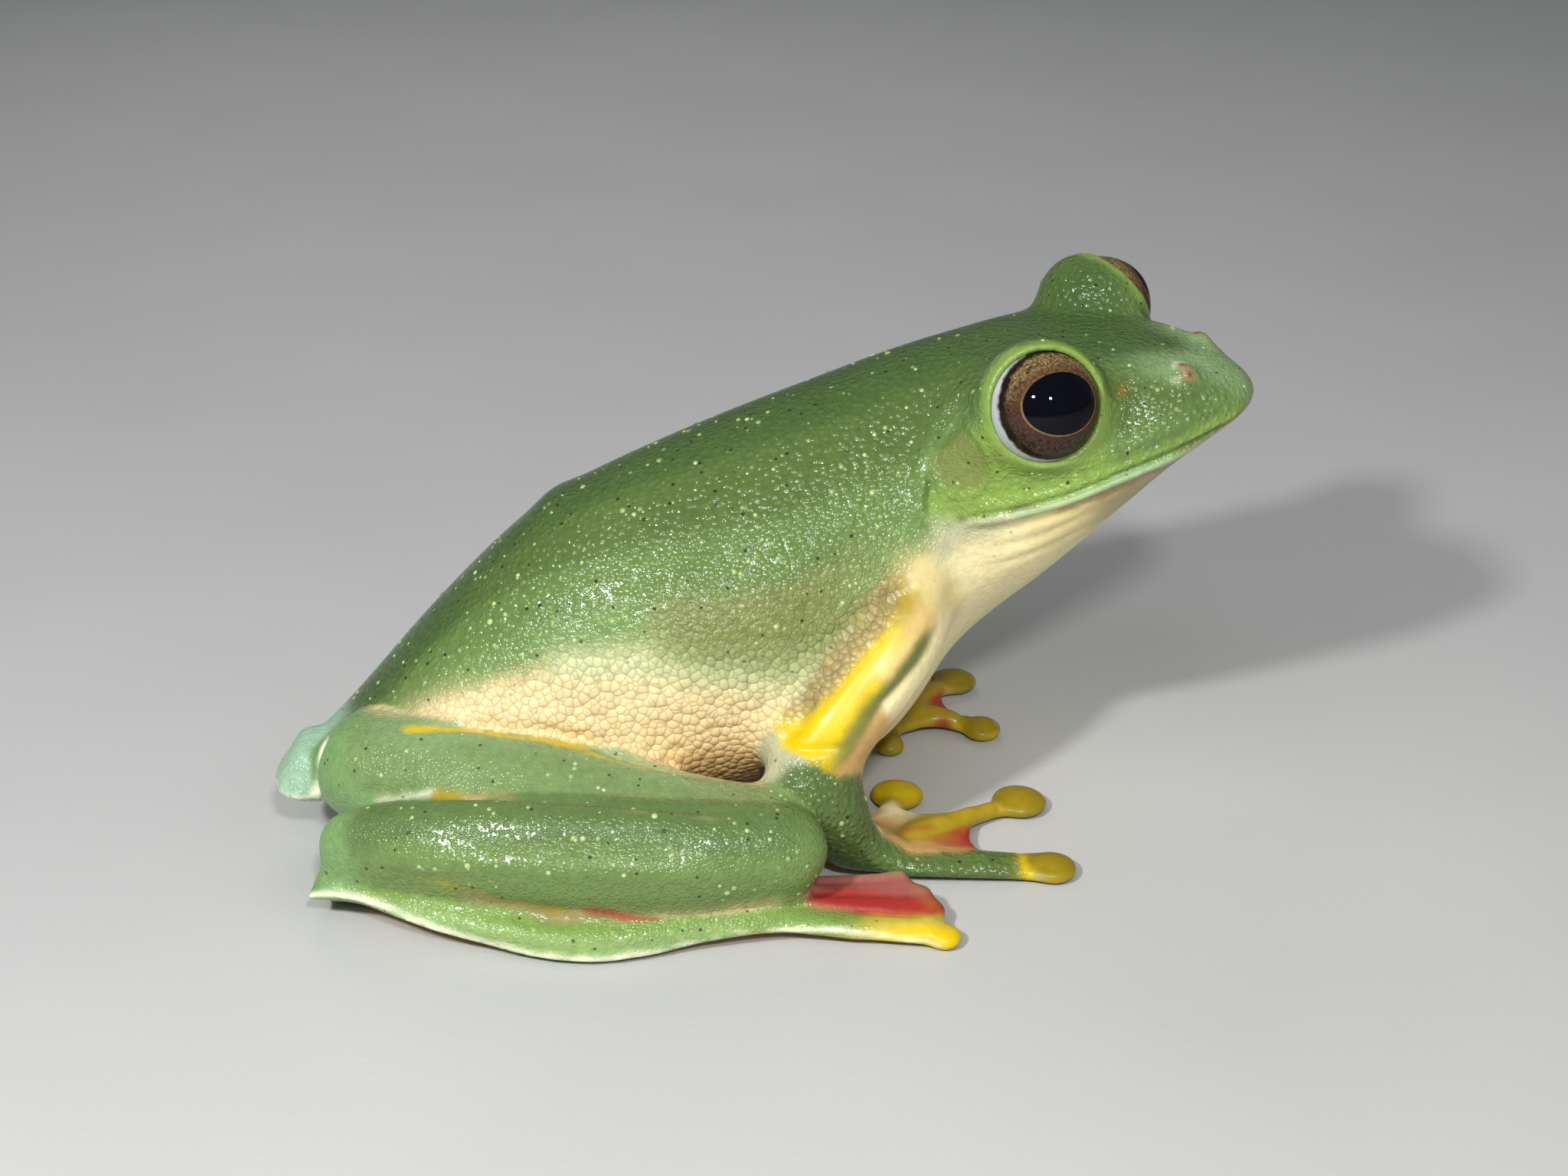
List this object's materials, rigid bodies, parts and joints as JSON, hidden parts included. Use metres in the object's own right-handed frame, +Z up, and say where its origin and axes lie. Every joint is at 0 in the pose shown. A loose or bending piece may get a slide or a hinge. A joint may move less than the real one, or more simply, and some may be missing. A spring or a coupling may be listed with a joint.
{
  "type": "malabar gliding frog",
  "caption": "Still, life-size model of a sitting tree frog with folded hind legs, webbed discs on its digits and a raised, turned head.",
  "frame": {"origin": "middle of the object's box in plan, at the height of the soles of its feet and hands", "axes": "+X from rump towards snout as the frog sits, +Y towards its left, +Z up"},
  "size_m": [0.0762, 0.0588, 0.0418],
  "materials": {
    "torso": "moist skin",
    "head": "moist skin",
    "lower_jaw": "moist skin",
    "eye_left": "wet gloss",
    "eye_right": "wet gloss",
    "upper_arm_left": "moist skin",
    "upper_arm_right": "moist skin",
    "forearm_left": "moist skin",
    "forearm_right": "moist skin",
    "hand_left": "moist skin",
    "hand_right": "moist skin",
    "thigh_left": "moist skin",
    "thigh_right": "moist skin",
    "shin_left": "moist skin",
    "shin_right": "moist skin",
    "foot_left": "moist skin",
    "foot_right": "moist skin"
  },
  "bodies": {
    "root": {"torso": "torso", "head": "head", "lower_jaw": "lower_jaw", "eye_left": "eye_left", "eye_right": "eye_right", "upper_arm_left": "upper_arm_left", "upper_arm_right": "upper_arm_right", "forearm_left": "forearm_left", "forearm_right": "forearm_right", "hand_left": "hand_left", "hand_right": "hand_right", "thigh_left": "thigh_left", "thigh_right": "thigh_right", "shin_left": "shin_left", "shin_right": "shin_right", "foot_left": "foot_left", "foot_right": "foot_right"}
  },
  "joints": []
}
